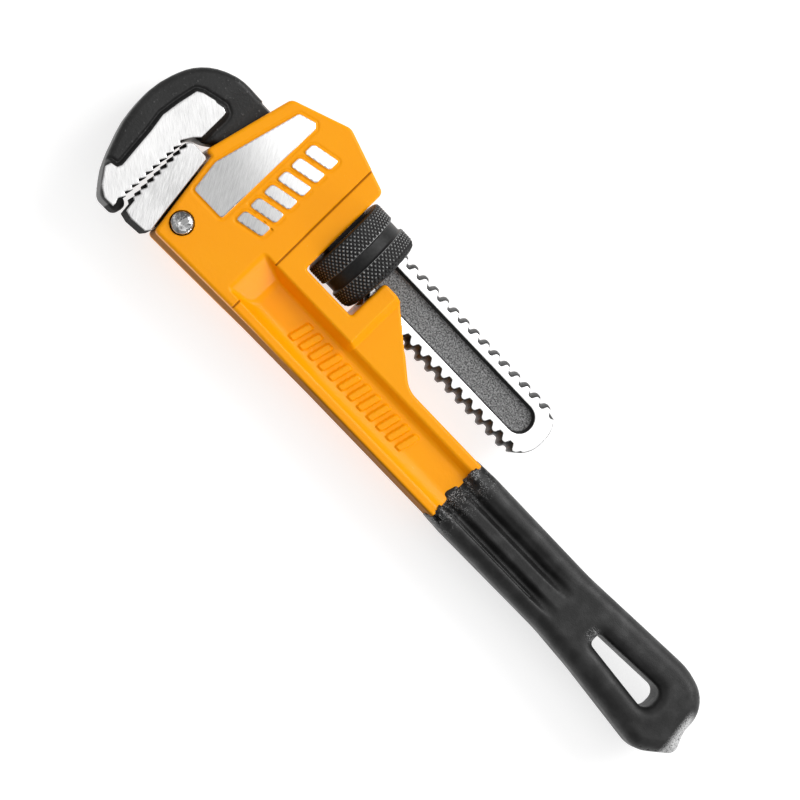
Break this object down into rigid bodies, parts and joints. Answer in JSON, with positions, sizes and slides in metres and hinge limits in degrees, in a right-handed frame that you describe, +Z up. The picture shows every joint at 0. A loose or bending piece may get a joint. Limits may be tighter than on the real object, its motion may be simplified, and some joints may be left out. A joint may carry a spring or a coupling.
{
  "type": "pipe wrench",
  "caption": "Straight pipe wrench with a cast handle, a hooked threaded jaw moved by a knurled nut, a toothed heel insert and a dipped grip with a hanging slot.",
  "frame": {"origin": "on the surface the wrench lies on, under the middle of its bounding box", "axes": "+X along the shank from the jaws towards the handle's end, +Y from the handle towards the threaded shank, +Z up through the thickness"},
  "size_m": [0.2884, 0.0766, 0.0324],
  "materials": {
    "orange_casting": "gloss paint on a ductile iron casting",
    "dipped_grip": "satin dipped vinyl",
    "ground_steel": "ground flat, fine grain",
    "bright_steel": "polished head",
    "black_forging": "black oxide with ground faces",
    "dark_steel": "black oxide, knurled",
    "spring_steel": "tempered blue grey"
  },
  "bodies": {
    "handle": {"handle_body": "orange_casting", "grip_sleeve": "dipped_grip", "heel_jaw": "ground_steel", "heel_jaw_pin": "bright_steel", "coil_spring": "spring_steel"},
    "leaf": {"flat_spring": "spring_steel", "spring_rivet": "bright_steel"},
    "jaw": {"hook_jaw": "black_forging"},
    "nut": {"adjusting_nut": "dark_steel"}
  },
  "joints": [
    {"name": "jaw_rock", "type": "hinge", "parent": "handle", "child": "leaf", "pos_m": [-0.05382, 0.01274, 0.0162], "axis": [0, 0, 1], "range_deg": [-2.5, 0], "stiffness_Nm_per_rad": 12, "springref_deg": 2.86, "deforming": ["coil_spring"]},
    {"name": "jaw_slide", "type": "slide", "parent": "leaf", "child": "jaw", "axis": [-1, 0, 0], "range_m": [0, 0.06]},
    {"name": "nut_spin", "type": "hinge", "parent": "leaf", "child": "nut", "pos_m": [-0.05382, 0.01274, 0.0162], "axis": [1, 0, 0], "range_deg": [0, 4260]}
  ],
  "couplings": [
    {"joint": "nut_spin", "follows": "jaw_slide", "rad_per_m": 1236.8}
  ]
}
